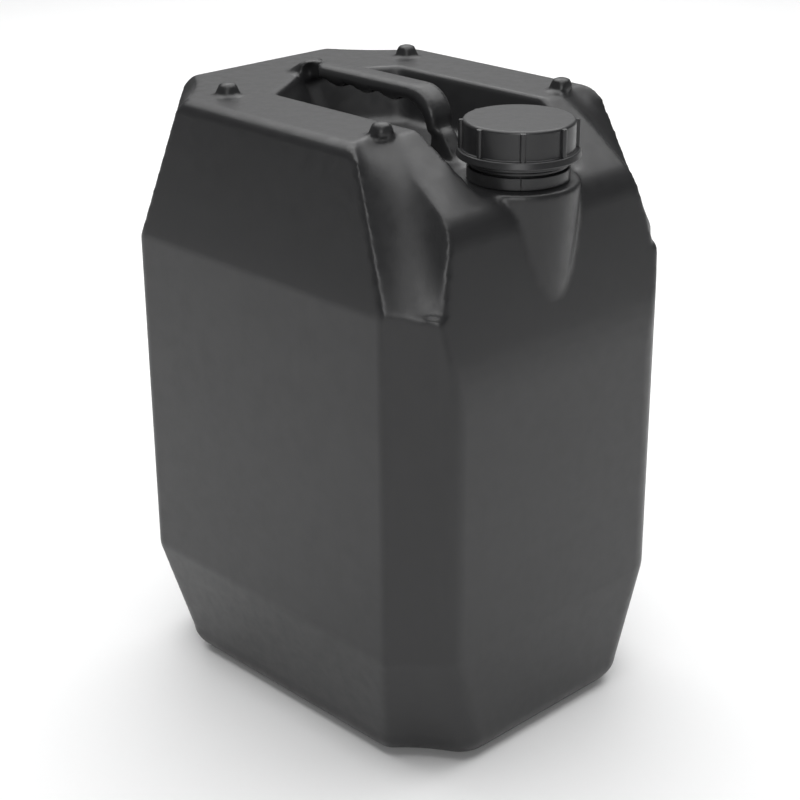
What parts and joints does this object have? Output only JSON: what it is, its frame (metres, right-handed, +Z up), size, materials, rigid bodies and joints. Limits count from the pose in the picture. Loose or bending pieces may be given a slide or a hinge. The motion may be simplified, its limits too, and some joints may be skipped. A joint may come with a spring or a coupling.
{
  "type": "plastic canister",
  "caption": "Stackable blow-moulded plastic canister with a built-in carrying handle, stacking studs, corner channels and a ribbed screw cap on its front neck.",
  "frame": {"origin": "middle of the foot, on the surface the canister stands on", "axes": "+Z up, +X towards the neck and screw cap, +Y across the width"},
  "size_m": [0.29, 0.244, 0.4135],
  "materials": {
    "body_plastic": "satin blow-moulded polyethylene, charcoal grey",
    "cap_plastic": "satin injection-moulded polyethylene, charcoal grey",
    "ring_plastic": "satin injection-moulded polyethylene, charcoal grey",
    "seal_foam": "off-white foamed polyethylene"
  },
  "bodies": {
    "canister": {"canister_body": "body_plastic", "tear_ring": "ring_plastic"},
    "seal": {"cap_seal": "seal_foam"},
    "cap": {"screw_cap": "cap_plastic"}
  },
  "joints": [
    {"name": "cap_rise", "type": "slide", "parent": "canister", "child": "seal", "axis": [0, 0, 1], "range_m": [0, 0.024]},
    {"name": "cap_turn", "type": "hinge", "parent": "seal", "child": "cap", "pos_m": [0.1066, 0, 0.395], "axis": [0, 0, 1], "range_deg": [0, 1440]}
  ],
  "couplings": [
    {"joint": "cap_rise", "follows": "cap_turn", "m_per_rad": 0.00095493}
  ]
}
